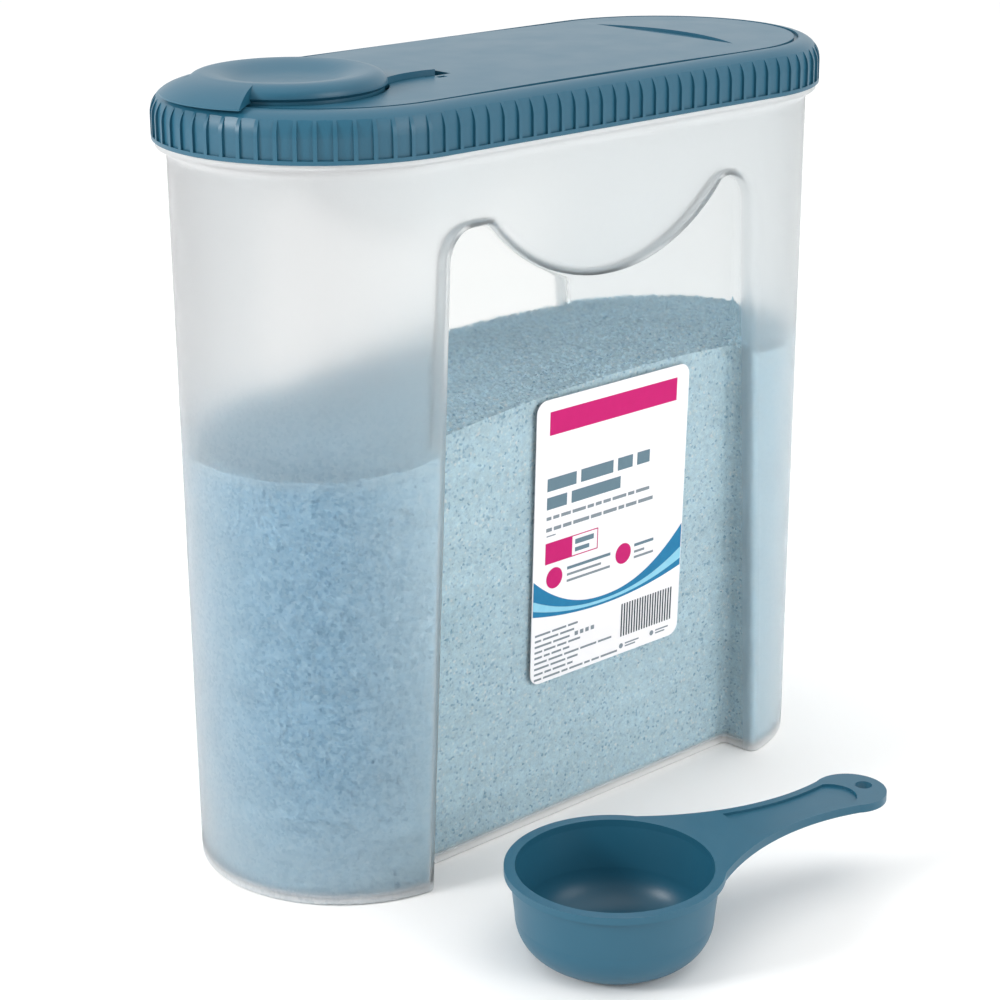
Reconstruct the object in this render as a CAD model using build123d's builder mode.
from build123d import *
import math
import os

# Container: a drafted wall with round ends, all lengths in millimetres.
END_SPACING = 138.0  # between the centres of the two round ends
BASE_RADIUS = 46.5  # outside of the wall at the underside
TOP_RADIUS = 47.3  # outside of the wall at the flange
FLANGE_BOTTOM = 224.5
FLANGE_THICKNESS = 2.0
FLANGE_RADIUS = 50.4
NECK_HEIGHT = 9.5  # above the flange
WALL = 1.4
FLOOR = 2.2
BASE_EDGE_RADIUS = 1.0

# Recessed panels: flat, leaning, open at the bottom, with a dipping top edge.
PANEL_DEPTH_AT_BASE = 12.9  # from the wall in to the panel, at the underside
PANEL_LEAN = 2.1  # degrees, outwards going up
PANEL_HALF_WIDTH = 71.3  # at the underside
PANEL_SIDE_LEAN = 2.5  # degrees, the sides draw in going up
PANEL_CREST = 203.1  # height of the two shoulders of the top edge
PANEL_DIP = 180.6  # height of the lowest place of the top edge
PANEL_DIP_X = 2.0
PANEL_DIP_RADIUS = 63.0
PANEL_CORNER_RADIUS = 9.0
PANEL_CREST_RADIUS = 5.0
PANEL_DRAFT = 3.0  # degrees, the recess widens outwards
PANEL_FOOT_RADIUS = 1.6  # in the corner between the panel and its side walls
PANEL_MOUTH_RADIUS = 3.0  # on the outer edge of the side walls

# Powder: fills the container to a low mound.
POWDER_GAP = 0.3
POWDER_PEAK = 149.0
POWDER_PEAK_X = 25.0
POWDER_LONG_RADIUS = 650.0
POWDER_CROSS_RADIUS = 220.0

# Label: a thin sticker on the near panel.
LABEL_WIDTH = 67.0
LABEL_HEIGHT = 94.0
LABEL_CORNER_RADIUS = 4.0
LABEL_THICKNESS = 0.3
LABEL_X = 10.4
LABEL_UP = 96.5  # middle of the label, up the panel

# Lid: a ribbed skirt, a rounded shoulder and a crowned panel.
LID_RADIUS = 51.4
LID_RISE = 14.1  # from the flange to the edge of the panel
LID_SHOULDER_RADIUS = 7.0
LID_SKIRT = 1.8
LID_PLATE = 2.6
PLUG_GAP = 0.3
PLUG_WALL = 1.4
PLUG_DEPTH = 9.0
CROWN_RISE = 0.9
CROWN_CROSS_RADIUS = 1500.0
CROWN_LONG_RADIUS = 6000.0
GROOVE_WIDTH = 1.5
GROOVE_DEPTH = 0.9
RIB_PITCH = 5.5
RIB_WIDTH = 1.2
RIB_DEPTH = 0.8
RIB_FADE_RADIUS = 10.4  # the ground between the ribs bends inwards into the shoulder
RIB_FADE_TURN = 38.0  # degrees
BAND_HEIGHT = 1.2

# Shallow lens-shaped recess near the far end of the lid panel.
LENS_X = 70.0
LENS_HALF_LENGTH = 30.5
LENS_NEAR_BULGE = 1.5
LENS_FAR_BULGE = 7.0
LENS_DEPTH = 1.5  # below the middle of the panel

# Pour opening and the seat of the flip cap.
CAP_X = -84.0
HOLE_RADIUS = 21.0
COLLAR_WALL = 1.4
COLLAR_DEPTH = 3.0
SEAT_DEPTH = 1.0
SEAT_GAP = 0.5

# Flip cap: a dished disc with a thumb tab and a hinged tail.
CAP_RADIUS = 28.6
CAP_LIFT = 0.3  # gap between the cap and its seat
CAP_FOOT = 1.5  # straight part of the wall, below its bulge
CAP_UNDERCUT = 0.9  # how far the bulge hangs over the foot
CAP_HEIGHT = 6.1
CAP_RIM_RADIUS = 24.0
CAP_DISH = 3.2
CAP_WALL = 1.6
CAP_PLUG_GAP = 0.3
CAP_PLUG_WALL = 1.4
CAP_PLUG_DEPTH = 2.9  # below the foot of the cap
TAB_REACH = 36.3  # from the middle of the cap to the edge of the tab
TAB_HALF_TURN = 31.0  # degrees, to either side of the long axis
TAB_LIFT = 1.2  # underside at its root
TAB_DROOP = 0.8  # how far the edge hangs lower than the root
TAB_LIP = 0.5
TAB_LIP_LENGTH = 1.0
TAB_BULGE = 1.1  # of the sloping top, over a straight line from the rim to the lip
TAIL_HALF_WIDTH = 14.5
TAIL_WAIST = 13.6
TAIL_THICKNESS = 3.2
TAIL_REAR = 3.6  # how far the tail's rounded rear edge passes the hinge line
TAIL_WAIST_X = 36.0  # from the middle of the cap to the tail's waist
TAIL_ROOT_X = 18.7
TAIL_ROOT = 18.6

# Hinge of the flip cap.
HINGE_X = -41.0
HINGE_DROP = 1.4  # pin line below the edge of the lid panel
PIN_RADIUS = 1.0
PIN_LENGTH = 3.2
PIN_GAP = 0.06
KNUCKLE_RADIUS = 2.0
KNUCKLE_WIDTH = 3.0
TRENCH_GAP = 0.4
TRENCH_FRONT = 4.0  # from the hinge line to the trench's front wall
TRENCH_WALL = 1.4
SOCKET_DEPTH = 3.4
NOTCH_HALF_WIDTH = 1.6
NOTCH_SKIN = 1.5  # wall left between the trench and the notch over each pin's end

# Scoop: a round cup with a flat handle, standing beside the container.
SCOOP_X = -59.4
SCOOP_Y = -109.6
SCOOP_TURN = -9.3  # degrees, direction of the handle
SCOOP_HEIGHT = 28.0
SCOOP_RIM_RADIUS = 32.0
SCOOP_LIP = 2.2
SCOOP_TOP_RADIUS = 30.3
SCOOP_SHOULDER_RADIUS = 28.9
SCOOP_SHOULDER = 13.0
SCOOP_BASE_RADIUS = 15.5
SCOOP_WALL = 1.5
HANDLE_ROOT_AT = 21.0
HANDLE_ROOT = 23.4
HANDLE_FLARE_AT = 40.0
HANDLE_FLARE = 13.4
HANDLE_WAIST_AT = 62.0
HANDLE_WAIST = 8.4
HANDLE_LOBE = 10.0
HANDLE_LOBE_FROM_TIP = 16.0
HANDLE_REACH = 100.0
HANDLE_THICKNESS = 2.6
HANDLE_BORDER = 2.6
HANDLE_RECESS = 0.8
HANDLE_RECESS_AT = 46.0
HANDLE_RECESS_ROOT = 8.6
HANG_HOLE_FROM_TIP = 5.7
HANG_HOLE_RADIUS = 2.6

# Heights and places that follow from the sizes above.
FLANGE_TOP = FLANGE_BOTTOM + FLANGE_THICKNESS
NECK_TOP = FLANGE_TOP + NECK_HEIGHT
BORE_RADIUS = TOP_RADIUS - WALL
LID_TOP = FLANGE_TOP + LID_RISE
PLATE_UNDERSIDE = LID_TOP - LID_PLATE
PANEL_EDGE_RADIUS = LID_RADIUS - LID_SHOULDER_RADIUS
SEAT_Z = LID_TOP - SEAT_DEPTH
CAP_Z = SEAT_Z + CAP_LIFT
HINGE_Z = LID_TOP - HINGE_DROP
TAIL_TOP = CAP_Z + TAIL_THICKNESS
TAIL_SWEEP = math.hypot(TAIL_REAR, TAIL_TOP - HINGE_Z)
TRENCH_REAR = TAIL_SWEEP + TRENCH_GAP
TRENCH_HALF = TAIL_HALF_WIDTH + SEAT_GAP
TRENCH_FLOOR = HINGE_Z - TAIL_SWEEP - TRENCH_GAP
PANEL_HALF_AT_BASE = BASE_RADIUS - PANEL_DEPTH_AT_BASE
HANDLE_LOBE_AT = HANDLE_REACH - HANDLE_LOBE_FROM_TIP
HANG_HOLE_AT = HANDLE_REACH - HANG_HOLE_FROM_TIP
BEYOND = 12.0  # how far a cutter runs past the material


def wall_radius(z):
    # Plan radius of the container's outside at a height.
    return BASE_RADIUS + (TOP_RADIUS - BASE_RADIUS) * z / FLANGE_BOTTOM


def bar(radius, low, high):
    # Bar with round ends, standing between two heights.
    with BuildPart() as solid:
        with BuildSketch(Plane.XY.offset(low)):
            SlotCenterToCenter(END_SPACING, 2 * radius)
        extrude(amount=high - low)
    return solid.part


def panel_plane(side, inwards=0.0):
    # Plane of a recessed panel, facing out: side is -1 for the near one and 1 for the far one.
    lean = math.radians(PANEL_LEAN)
    outwards = Vector(0, side * math.cos(lean), -math.sin(lean))
    origin = Vector(0, side * PANEL_HALF_AT_BASE, 0) - outwards * inwards
    return Plane(origin=origin, x_dir=(-side, 0, 0), z_dir=outwards)


def panel_recess(side, grow):
    # Space of one recess, larger by grow on every side, with its corners rounded.
    plane = panel_plane(side, grow)
    side_tan = math.tan(math.radians(PANEL_SIDE_LEAN))
    crest = PANEL_CREST + grow
    dip = PANEL_DIP + grow
    dip_radius = PANEL_DIP_RADIUS - grow
    half_chord = math.sqrt(dip_radius**2 - (dip_radius - crest + dip) ** 2)
    dip_x = -side * PANEL_DIP_X
    foot = PANEL_HALF_WIDTH + grow + BEYOND * side_tan
    head = PANEL_HALF_WIDTH + grow - crest * side_tan
    with BuildPart() as space:
        with BuildSketch(plane) as outline:
            with BuildLine():
                Polyline(
                    (dip_x + half_chord, crest), (head, crest), (foot, -BEYOND),
                    (-foot, -BEYOND), (-head, crest), (dip_x - half_chord, crest),
                )
                ThreePointArc((dip_x - half_chord, crest), (dip_x, dip), (dip_x + half_chord, crest))
            make_face()
            corners = outline.vertices().group_by(Axis.Y)[-1].sort_by(Axis.X)
            fillet([corners[0], corners[-1]], PANEL_CORNER_RADIUS + grow)
            shoulders = outline.vertices().filter_by(
                lambda v: abs(abs(v.X - dip_x) - half_chord) < 0.1 and abs(v.Y - crest) < 0.1
            )
            fillet(shoulders, PANEL_CREST_RADIUS + grow)
        extrude(amount=2 * BEYOND, taper=-PANEL_DRAFT)
        foot_edges = space.edges().filter_by(
            lambda e: abs(plane.to_local_coords(e.position_at(0.5)).Z) < 0.01 and e.center().Z > 0
        )
        fillet(foot_edges, PANEL_FOOT_RADIUS + grow)
    return space.part


def container_form(inset, low):
    # Outside of the container below its flange, moved inwards by inset on every side.
    with BuildPart() as form:
        with BuildSketch(Plane.XY.offset(low)):
            SlotCenterToCenter(END_SPACING, 2 * (wall_radius(low) - inset))
        with BuildSketch(Plane.XY.offset(FLANGE_BOTTOM)):
            SlotCenterToCenter(END_SPACING, 2 * (TOP_RADIUS - inset))
        loft()
        add(panel_recess(-1, inset), mode=Mode.SUBTRACT)
        add(panel_recess(1, inset), mode=Mode.SUBTRACT)

        def on_mouth(edge):
            # True for an edge where a recess meets the outside of the wall.
            for t in (0.2, 0.5, 0.8):
                p = edge.position_at(t)
                reach = math.hypot(max(abs(p.X) - END_SPACING / 2, 0), p.Y)
                if abs(reach - wall_radius(p.Z) + inset) > 0.02 or p.Z < low + 0.01:
                    return False
            seam = abs(abs(edge.center().X) - END_SPACING / 2) < 0.01
            return not seam and edge.center().Z < FLANGE_BOTTOM - 1

        fillet(form.edges().filter_by(on_mouth), PANEL_MOUTH_RADIUS - inset)
    return form.part


# Container: wall, floor, flange and neck in one moulding.
with BuildPart() as container:
    add(container_form(0, 0))
    fillet(container.faces().sort_by(Axis.Z)[0].edges(), BASE_EDGE_RADIUS)
    add(bar(FLANGE_RADIUS, FLANGE_BOTTOM, FLANGE_TOP))
    add(bar(TOP_RADIUS, FLANGE_TOP, NECK_TOP))
    add(container_form(WALL, FLOOR), mode=Mode.SUBTRACT)
    add(bar(BORE_RADIUS, FLANGE_BOTTOM, NECK_TOP), mode=Mode.SUBTRACT)
container.part.label = "container"

# Powder: what is in the container, with a low mound on top.
with BuildPart() as powder:
    add(container_form(WALL + POWDER_GAP, FLOOR))
    with BuildSketch(Plane.YZ.offset(POWDER_PEAK_X)):
        with BuildLine():
            foot = POWDER_PEAK - POWDER_LONG_RADIUS / 2
            edge = POWDER_PEAK - BASE_RADIUS**2 / (2 * POWDER_CROSS_RADIUS)
            ThreePointArc((-BASE_RADIUS, edge), (0, POWDER_PEAK), (BASE_RADIUS, edge))
            Polyline((BASE_RADIUS, edge), (BASE_RADIUS, foot), (-BASE_RADIUS, foot), (-BASE_RADIUS, edge))
        make_face()
    revolve(axis=Axis((POWDER_PEAK_X, 0, POWDER_PEAK - POWDER_LONG_RADIUS), (0, 1, 0)), mode=Mode.INTERSECT)
powder.part.label = "powder"

# Label: a thin sticker with rounded corners on the near panel.
with BuildPart() as label:
    with BuildSketch(panel_plane(-1)):
        with Locations((LABEL_X, LABEL_UP)):
            RectangleRounded(LABEL_WIDTH, LABEL_HEIGHT, LABEL_CORNER_RADIUS)
    extrude(amount=LABEL_THICKNESS)
label.part.label = "label"


def ring(outer, inner, low, high):
    # Upright wall with round ends in plan, between two radii.
    return bar(outer, low, high) - bar(inner, low, high)


def pocket_places():
    # Places and outward directions of the pockets, evenly along the plan line of the skirt.
    round_length = math.pi * LID_RADIUS
    length = 2 * (END_SPACING + round_length)
    count = 2 * round(length / RIB_PITCH / 2)
    pocket_bottom = LID_RADIUS - RIB_DEPTH
    places = []
    for i in range(count // 2):
        along = (i + 0.5) * length / count
        if along < END_SPACING:
            centre_x = along - END_SPACING / 2
            turn = -math.pi / 2
        else:
            centre_x = END_SPACING / 2
            turn = (along - END_SPACING) / LID_RADIUS - math.pi / 2
        x = centre_x + pocket_bottom * math.cos(turn)
        y = pocket_bottom * math.sin(turn)
        z = FLANGE_TOP + BAND_HEIGHT
        places.append(Location((x, y, z), (0, 0, math.degrees(turn))))
        places.append(Location((-x, -y, z), (0, 0, math.degrees(turn) + 180)))
    return places, length / count


def tail_plan(grow):
    # Plan of the cap's tail, larger by grow: it leaves the disc, narrows, and ends in a rounded edge.
    with BuildSketch() as plan:
        with BuildLine():
            root = (CAP_X + TAIL_ROOT_X, TAIL_ROOT)
            waist = (CAP_X + TAIL_WAIST_X, TAIL_WAIST)
            corner = (HINGE_X, TAIL_HALF_WIDTH)
            ThreePointArc(root, waist, corner)
            ThreePointArc(corner, (HINGE_X + TAIL_REAR, 0), (HINGE_X, -TAIL_HALF_WIDTH))
            ThreePointArc((HINGE_X, -TAIL_HALF_WIDTH), (waist[0], -waist[1]), (root[0], -root[1]))
            Line((root[0], -root[1]), root)
        make_face()
        if grow > 0:
            offset(amount=grow)
    return plan.sketch


pocket_sites, pocket_pitch = pocket_places()

# Crowned panel of the lid, standing inside its groove.
with BuildPart() as crown:
    add(bar(PANEL_EDGE_RADIUS - GROOVE_WIDTH, PLATE_UNDERSIDE, LID_TOP + BEYOND))
    with BuildSketch(Plane.YZ):
        with BuildLine():
            top = LID_TOP + CROWN_RISE
            edge = top - PANEL_EDGE_RADIUS**2 / (2 * CROWN_CROSS_RADIUS)
            under = PLATE_UNDERSIDE - LID_PLATE
            ThreePointArc((-PANEL_EDGE_RADIUS, edge), (0, top), (PANEL_EDGE_RADIUS, edge))
            Polyline(
                (PANEL_EDGE_RADIUS, edge), (PANEL_EDGE_RADIUS, under),
                (-PANEL_EDGE_RADIUS, under), (-PANEL_EDGE_RADIUS, edge),
            )
        make_face()
    revolve(axis=Axis((0, 0, top - CROWN_LONG_RADIUS), (0, 1, 0)), mode=Mode.INTERSECT)

# Inside of the lid: the hollow under its plate, with the shoulder's rounding.
with BuildPart() as lid_hollow:
    add(bar(LID_RADIUS - LID_SKIRT, FLANGE_TOP, PLATE_UNDERSIDE))
    fillet(lid_hollow.faces().sort_by(Axis.Z)[-1].edges(), LID_SHOULDER_RADIUS - LID_SKIRT)

# Cutter of one pocket between two ribs: its inner face runs up the skirt and bends into the shoulder.
with BuildPart() as pocket:
    with BuildSketch(Plane.XZ):
        with BuildLine():
            straight = LID_RISE - LID_SHOULDER_RADIUS - BAND_HEIGHT
            ground = Line((0, 0), (0, straight))
            fade = JernArc(ground @ 1, (0, 1), RIB_FADE_RADIUS, RIB_FADE_TURN)
            outside = 4 * RIB_DEPTH
            Polyline(fade @ 1, (outside, (fade @ 1).Y), (outside, 0), (0, 0))
        make_face()
    extrude(amount=(pocket_pitch - RIB_WIDTH) / 2, both=True)

# Lid: skirt, shoulder, panel, plug ring, pour opening, cap seat and hinge trench in one moulding.
# Pockets cut in its skirt leave a row of ribs standing.
with BuildPart() as lid:
    add(bar(LID_RADIUS, FLANGE_TOP, LID_TOP))
    fillet(lid.faces().sort_by(Axis.Z)[-1].edges(), LID_SHOULDER_RADIUS)
    add(
        ring(PANEL_EDGE_RADIUS, PANEL_EDGE_RADIUS - GROOVE_WIDTH, LID_TOP - GROOVE_DEPTH, LID_TOP + BEYOND),
        mode=Mode.SUBTRACT,
    )
    add(crown.part)
    add(lid_hollow.part, mode=Mode.SUBTRACT)
    plug_outer = BORE_RADIUS - PLUG_GAP
    add(ring(plug_outer, plug_outer - PLUG_WALL, PLATE_UNDERSIDE - PLUG_DEPTH, PLATE_UNDERSIDE))
    with Locations((CAP_X, 0, PLATE_UNDERSIDE)):
        Cylinder(
            HOLE_RADIUS + COLLAR_WALL, COLLAR_DEPTH, align=(Align.CENTER, Align.CENTER, Align.MAX)
        )
    trench_bottom = TRENCH_FLOOR - TRENCH_WALL
    with Locations((HINGE_X - TRENCH_FRONT - TRENCH_WALL, 0, trench_bottom)):
        Box(
            TRENCH_FRONT + TRENCH_REAR + 2 * TRENCH_WALL,
            2 * (TRENCH_HALF + SOCKET_DEPTH + TRENCH_WALL),
            PLATE_UNDERSIDE - trench_bottom,
            align=(Align.MIN, Align.CENTER, Align.MIN),
        )
    with BuildSketch(Plane.XY.offset(SEAT_Z)):
        with Locations((CAP_X, 0)):
            Circle(CAP_RADIUS + SEAT_GAP)
        add(tail_plan(SEAT_GAP))
    extrude(amount=BEYOND, mode=Mode.SUBTRACT)
    with Locations((CAP_X, 0, LID_TOP)):
        Cylinder(HOLE_RADIUS, 2 * BEYOND, mode=Mode.SUBTRACT)
    with Locations((HINGE_X - TRENCH_FRONT, 0, TRENCH_FLOOR)):
        Box(
            TRENCH_FRONT + TRENCH_REAR, 2 * TRENCH_HALF, BEYOND,
            align=(Align.MIN, Align.CENTER, Align.MIN), mode=Mode.SUBTRACT,
        )
    with Locations(Location((HINGE_X, 0, HINGE_Z), (90, 0, 0))):
        Cylinder(PIN_RADIUS + PIN_GAP, 2 * (TRENCH_HALF + SOCKET_DEPTH), mode=Mode.SUBTRACT)
    for side in (-1, 1):
        with Locations((HINGE_X, side * (TRENCH_HALF + (NOTCH_SKIN + SOCKET_DEPTH) / 2), HINGE_Z)):
            Box(
                2 * NOTCH_HALF_WIDTH, SOCKET_DEPTH - NOTCH_SKIN, BEYOND,
                align=(Align.CENTER, Align.CENTER, Align.MIN), mode=Mode.SUBTRACT,
            )
    with BuildSketch(Plane.XY.offset(LID_TOP + CROWN_RISE - LENS_DEPTH)):
        with BuildLine():
            ThreePointArc(
                (LENS_X, -LENS_HALF_LENGTH), (LENS_X + LENS_FAR_BULGE, 0), (LENS_X, LENS_HALF_LENGTH)
            )
            ThreePointArc(
                (LENS_X, -LENS_HALF_LENGTH), (LENS_X - LENS_NEAR_BULGE, 0), (LENS_X, LENS_HALF_LENGTH)
            )
        make_face()
    extrude(amount=BEYOND, mode=Mode.SUBTRACT)
    with Locations(*pocket_sites):
        add(pocket.part, mode=Mode.SUBTRACT)
lid.part.label = "lid"


def cap_profile(inset):
    # Half section of the flip cap's outer form, moved inwards by inset: wall, bulge, rim and dish.
    crest = CAP_HEIGHT - inset
    floor = crest - CAP_DISH
    with BuildSketch(Plane(origin=(CAP_X, 0, CAP_Z), x_dir=(1, 0, 0), z_dir=(0, -1, 0))) as profile:
        with BuildLine():
            wall = CAP_RADIUS - inset
            bulge_foot = CAP_FOOT + CAP_UNDERCUT
            Polyline(
                (0, floor), (0, 0), (wall - CAP_UNDERCUT, 0), (wall - CAP_UNDERCUT, CAP_FOOT), (wall, bulge_foot)
            )
            EllipticalCenterArc(
                (CAP_RIM_RADIUS, bulge_foot), wall - CAP_RIM_RADIUS, crest - bulge_foot, 0, arc_size=90
            )
            Spline(
                (CAP_RIM_RADIUS, crest), (0.55 * CAP_RIM_RADIUS, crest - 0.85 * CAP_DISH), (0, floor),
                tangents=((-1, 0), (-1, 0)),
            )
        make_face()
    return profile.sketch


CAP_AXIS = Axis((CAP_X, 0, 0), (0, 0, 1))

# Hollow under the flip cap.
with BuildPart() as cap_hollow:
    add(cap_profile(CAP_WALL))
    revolve(axis=CAP_AXIS)

# Thumb tab: a sector that slopes down from the rim of the disc and hangs over the lid's shoulder.
with BuildPart() as tab:
    turn = math.radians(TAB_HALF_TURN)
    sideways = Vector(-math.cos(turn), math.sin(turn), 0)
    with BuildSketch(Plane(origin=(CAP_X, 0, CAP_Z), x_dir=sideways, z_dir=sideways.cross(Vector(0, 0, 1)))):
        with BuildLine():
            edge_low = TAB_LIFT - TAB_DROOP
            edge_high = edge_low + TAB_LIP
            middle = ((CAP_RIM_RADIUS + TAB_REACH) / 2, (CAP_HEIGHT + edge_high) / 2 + TAB_BULGE)
            ThreePointArc((CAP_RIM_RADIUS, CAP_HEIGHT), middle, (TAB_REACH, edge_high))
            Polyline(
                (TAB_REACH, edge_high), (TAB_REACH, edge_low), (TAB_REACH - TAB_LIP_LENGTH, edge_low),
                (CAP_RADIUS + CAP_FOOT, TAB_LIFT), (CAP_RIM_RADIUS, TAB_LIFT), (CAP_RIM_RADIUS, CAP_HEIGHT),
            )
        make_face()
    revolve(axis=CAP_AXIS, revolution_arc=2 * TAB_HALF_TURN)

# Flip cap: disc, tab, tail, knuckles, pins and plug ring in one moulding.
with BuildPart() as flip_cap:
    add(cap_profile(0))
    revolve(axis=CAP_AXIS)
    add(tab.part)
    with BuildSketch(Plane.XY.offset(CAP_Z)):
        add(tail_plan(0))
    extrude(amount=TAIL_THICKNESS)
    add(cap_hollow.part, mode=Mode.SUBTRACT)
    plug_radius = HOLE_RADIUS - CAP_PLUG_GAP
    with BuildSketch(Plane.XY.offset(CAP_Z - CAP_PLUG_DEPTH)):
        with Locations((CAP_X, 0)):
            Circle(plug_radius)
            Circle(plug_radius - CAP_PLUG_WALL, mode=Mode.SUBTRACT)
    extrude(amount=CAP_PLUG_DEPTH + CAP_HEIGHT - CAP_WALL)
    knuckle_face = TRENCH_HALF - TRENCH_GAP
    for side in (-1, 1):
        with Locations(Location((HINGE_X, side * (knuckle_face - KNUCKLE_WIDTH / 2), HINGE_Z), (90, 0, 0))):
            Cylinder(KNUCKLE_RADIUS, KNUCKLE_WIDTH)
        with Locations(Location((HINGE_X, side * (knuckle_face + PIN_LENGTH / 2), HINGE_Z), (90, 0, 0))):
            Cylinder(PIN_RADIUS, PIN_LENGTH)
flip_cap.part.label = "flip_cap"


def scoop_plane(z):
    # Level plane of the scoop: its first axis runs along the handle.
    turn = math.radians(SCOOP_TURN)
    return Plane(origin=(SCOOP_X, SCOOP_Y, z), x_dir=(math.cos(turn), math.sin(turn), 0))


def handle_plan(sides, tip):
    # Level outline through the points of one side, mirrored, and rounded off at the tip.
    with BuildSketch() as plan:
        with BuildLine():
            mirrored = [(x, -y) for x, y in sides]
            Spline(sides)
            Spline(mirrored)
            ThreePointArc(sides[-1], (tip, 0), mirrored[-1])
            Line(sides[0], mirrored[0])
        make_face()
    return plan.sketch


# Scoop: a round cup with a rolled rim and a flat handle.
with BuildPart() as scoop:
    section = scoop_plane(0)
    upright = Plane(origin=section.origin, x_dir=section.x_dir, z_dir=section.x_dir.cross(Vector(0, 0, 1)))
    with BuildSketch(scoop_plane(SCOOP_HEIGHT - HANDLE_THICKNESS)):
        handle_sides = [
            (HANDLE_ROOT_AT, HANDLE_ROOT), (HANDLE_FLARE_AT, HANDLE_FLARE),
            (HANDLE_WAIST_AT, HANDLE_WAIST), (HANDLE_LOBE_AT, HANDLE_LOBE),
        ]
        add(handle_plan(handle_sides, HANDLE_REACH))
    extrude(amount=HANDLE_THICKNESS)
    with BuildSketch(upright):
        with BuildLine():
            Polyline((SCOOP_BASE_RADIUS, 0), (0, 0), (0, SCOOP_HEIGHT), (SCOOP_RIM_RADIUS, SCOOP_HEIGHT))
            Polyline(
                (SCOOP_RIM_RADIUS, SCOOP_HEIGHT),
                (SCOOP_RIM_RADIUS, SCOOP_HEIGHT - SCOOP_LIP),
                (SCOOP_TOP_RADIUS, SCOOP_HEIGHT - SCOOP_LIP),
                (SCOOP_SHOULDER_RADIUS, SCOOP_SHOULDER),
            )
            EllipticalCenterArc(
                (SCOOP_BASE_RADIUS, SCOOP_SHOULDER), SCOOP_SHOULDER_RADIUS - SCOOP_BASE_RADIUS,
                SCOOP_SHOULDER, -90, arc_size=90,
            )
        make_face()
    scoop_axis = Axis(section.origin, (0, 0, 1))
    revolve(axis=scoop_axis)
    with BuildSketch(upright):
        with BuildLine():
            inside = SCOOP_SHOULDER_RADIUS - SCOOP_WALL
            Polyline((SCOOP_BASE_RADIUS, SCOOP_WALL), (0, SCOOP_WALL), (0, SCOOP_HEIGHT + SCOOP_WALL))
            Polyline(
                (0, SCOOP_HEIGHT + SCOOP_WALL),
                (SCOOP_TOP_RADIUS - SCOOP_WALL, SCOOP_HEIGHT + SCOOP_WALL),
                (SCOOP_TOP_RADIUS - SCOOP_WALL, SCOOP_HEIGHT - SCOOP_LIP),
                (inside, SCOOP_SHOULDER),
            )
            EllipticalCenterArc(
                (SCOOP_BASE_RADIUS, SCOOP_SHOULDER), inside - SCOOP_BASE_RADIUS,
                SCOOP_SHOULDER - SCOOP_WALL, -90, arc_size=90,
            )
        make_face()
    revolve(axis=scoop_axis, mode=Mode.SUBTRACT)
    with BuildSketch(scoop_plane(SCOOP_HEIGHT - HANDLE_RECESS)):
        recess_sides = [
            (HANDLE_RECESS_AT, HANDLE_RECESS_ROOT), (HANDLE_WAIST_AT, HANDLE_WAIST - HANDLE_BORDER),
            (HANDLE_LOBE_AT, HANDLE_LOBE - HANDLE_BORDER),
        ]
        add(handle_plan(recess_sides, HANG_HOLE_AT - HANG_HOLE_RADIUS - HANDLE_BORDER))
    extrude(amount=BEYOND, mode=Mode.SUBTRACT)
    with BuildSketch(scoop_plane(0)):
        with Locations((HANG_HOLE_AT, 0)):
            Circle(HANG_HOLE_RADIUS)
    extrude(amount=SCOOP_HEIGHT + BEYOND, mode=Mode.SUBTRACT)
scoop.part.label = "scoop"

os.makedirs("parts", exist_ok=True)
for piece in (container, lid, flip_cap, powder, label, scoop):
    export_step(piece.part, f"parts/{piece.part.label}.step")
